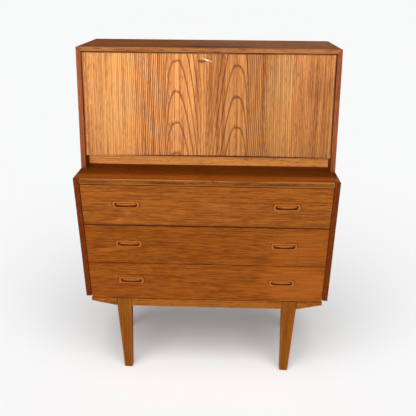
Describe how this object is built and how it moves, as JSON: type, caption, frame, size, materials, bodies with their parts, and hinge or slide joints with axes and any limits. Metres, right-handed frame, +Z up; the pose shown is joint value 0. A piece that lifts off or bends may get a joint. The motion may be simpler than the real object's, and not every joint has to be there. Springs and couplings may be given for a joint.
{
  "type": "secretary desk",
  "caption": "Fall-front secretary desk: a cabinet whose front drops to a writing flap on stays, over a leaning chest of drawers with inset lip pulls, on tapered legs.",
  "frame": {"origin": "on the floor under the middle of the desk's bounding box", "axes": "+Z up, the front faces -Y, +X to the right as seen from the front"},
  "size_m": [0.82, 0.4438, 1.112],
  "materials": {
    "teak_flap": "oiled teak veneer, upright figure",
    "teak_carcase": "oiled teak veneer, darker with age",
    "teak_drawer": "oiled teak veneer, level figure",
    "teak_solid": "oiled solid teak",
    "secondary_wood": "plain pale hardwood",
    "brass": "dulled brass",
    "steel": "plain steel"
  },
  "bodies": {
    "carcase": {"cabinet_side_left": "teak_carcase", "cabinet_side_right": "teak_carcase", "cabinet_top": "teak_carcase", "cabinet_floor": "teak_carcase", "cabinet_plinth": "teak_carcase", "cabinet_back": "secondary_wood", "pigeonhole_shelf": "teak_drawer", "pigeonhole_divider_left": "teak_drawer", "pigeonhole_divider_right": "teak_drawer", "chest_side_left": "teak_carcase", "chest_side_right": "teak_carcase", "ledge_board": "teak_carcase", "chest_bottom": "secondary_wood", "chest_back": "secondary_wood", "runner_1_left": "secondary_wood", "runner_1_right": "secondary_wood", "runner_2_left": "secondary_wood", "runner_2_right": "secondary_wood", "runner_3_left": "secondary_wood", "runner_3_right": "secondary_wood", "front_apron": "teak_solid", "rear_rail": "teak_solid", "leg_front_left": "teak_solid", "leg_front_right": "teak_solid", "leg_rear_left": "teak_solid", "leg_rear_right": "teak_solid", "strike_plate": "brass"},
    "flap": {"flap_panel": "teak_flap", "flap_pivot_left": "steel", "flap_pivot_right": "steel", "lock_case": "steel", "stay_bracket_left": "brass", "stay_bracket_right": "brass"},
    "key": {"key": "brass"},
    "bolt": {"lock_bolt": "brass"},
    "stay_arm_left": {"stay_arm_left": "brass"},
    "stay_arm_right": {"stay_arm_right": "brass"},
    "stay_guide_left": {"stay_guide_left": "brass"},
    "stay_guide_right": {"stay_guide_right": "brass"},
    "drawer_1": {"drawer_1_front": "teak_drawer", "drawer_1_side_left": "secondary_wood", "drawer_1_side_right": "secondary_wood", "drawer_1_back": "secondary_wood", "drawer_1_bottom": "secondary_wood", "pull_1_left": "teak_solid", "pull_1_right": "teak_solid"},
    "drawer_2": {"drawer_2_front": "teak_drawer", "drawer_2_side_left": "secondary_wood", "drawer_2_side_right": "secondary_wood", "drawer_2_back": "secondary_wood", "drawer_2_bottom": "secondary_wood", "pull_2_left": "teak_solid", "pull_2_right": "teak_solid"},
    "drawer_3": {"drawer_3_front": "teak_drawer", "drawer_3_side_left": "secondary_wood", "drawer_3_side_right": "secondary_wood", "drawer_3_back": "secondary_wood", "drawer_3_bottom": "secondary_wood", "pull_3_left": "teak_solid", "pull_3_right": "teak_solid"}
  },
  "joints": [
    {"name": "flap_hinge", "type": "hinge", "parent": "carcase", "child": "flap", "pos_m": [0, -0.086, 0.773], "axis": [1, 0, 0], "range_deg": [0, 90]},
    {"name": "key_turn", "type": "hinge", "parent": "flap", "child": "key", "pos_m": [-0.004, -0.0925, 1.0785], "axis": [0, -1, 0], "range_deg": [0, 108.3]},
    {"name": "bolt_slide", "type": "slide", "parent": "flap", "child": "bolt", "axis": [0, 0, 1], "range_m": [0, 0.007]},
    {"name": "stay_guide_left_swivel", "type": "hinge", "parent": "carcase", "child": "stay_guide_left", "pos_m": [-0.385, 0.02229, 0.87758], "axis": [1, 0, 0], "range_deg": [0, 45]},
    {"name": "stay_arm_left_pivot", "type": "hinge", "parent": "flap", "child": "stay_arm_left", "pos_m": [-0.385, -0.073, 0.92299], "axis": [1, 0, 0], "range_deg": [-45, 0]},
    {"name": "stay_guide_right_swivel", "type": "hinge", "parent": "carcase", "child": "stay_guide_right", "pos_m": [0.385, 0.02229, 0.87758], "axis": [1, 0, 0], "range_deg": [0, 45]},
    {"name": "stay_arm_right_pivot", "type": "hinge", "parent": "flap", "child": "stay_arm_right", "pos_m": [0.385, -0.073, 0.92299], "axis": [1, 0, 0], "range_deg": [-45, 0]},
    {"name": "drawer_1_slide", "type": "slide", "parent": "carcase", "child": "drawer_1", "axis": [0, -1, 0], "range_m": [0, 0.3]},
    {"name": "drawer_2_slide", "type": "slide", "parent": "carcase", "child": "drawer_2", "axis": [0, -1, 0], "range_m": [0, 0.27]},
    {"name": "drawer_3_slide", "type": "slide", "parent": "carcase", "child": "drawer_3", "axis": [0, -1, 0], "range_m": [0, 0.24]}
  ],
  "couplings": [
    {"joint": "bolt_slide", "follows": "key_turn", "m_per_rad": 0.0037},
    {"joint": "stay_guide_left_swivel", "follows": "flap_hinge", "ratio": 0.5},
    {"joint": "stay_arm_left_pivot", "follows": "flap_hinge", "ratio": -0.5},
    {"joint": "stay_guide_right_swivel", "follows": "flap_hinge", "ratio": 0.5},
    {"joint": "stay_arm_right_pivot", "follows": "flap_hinge", "ratio": -0.5}
  ]
}
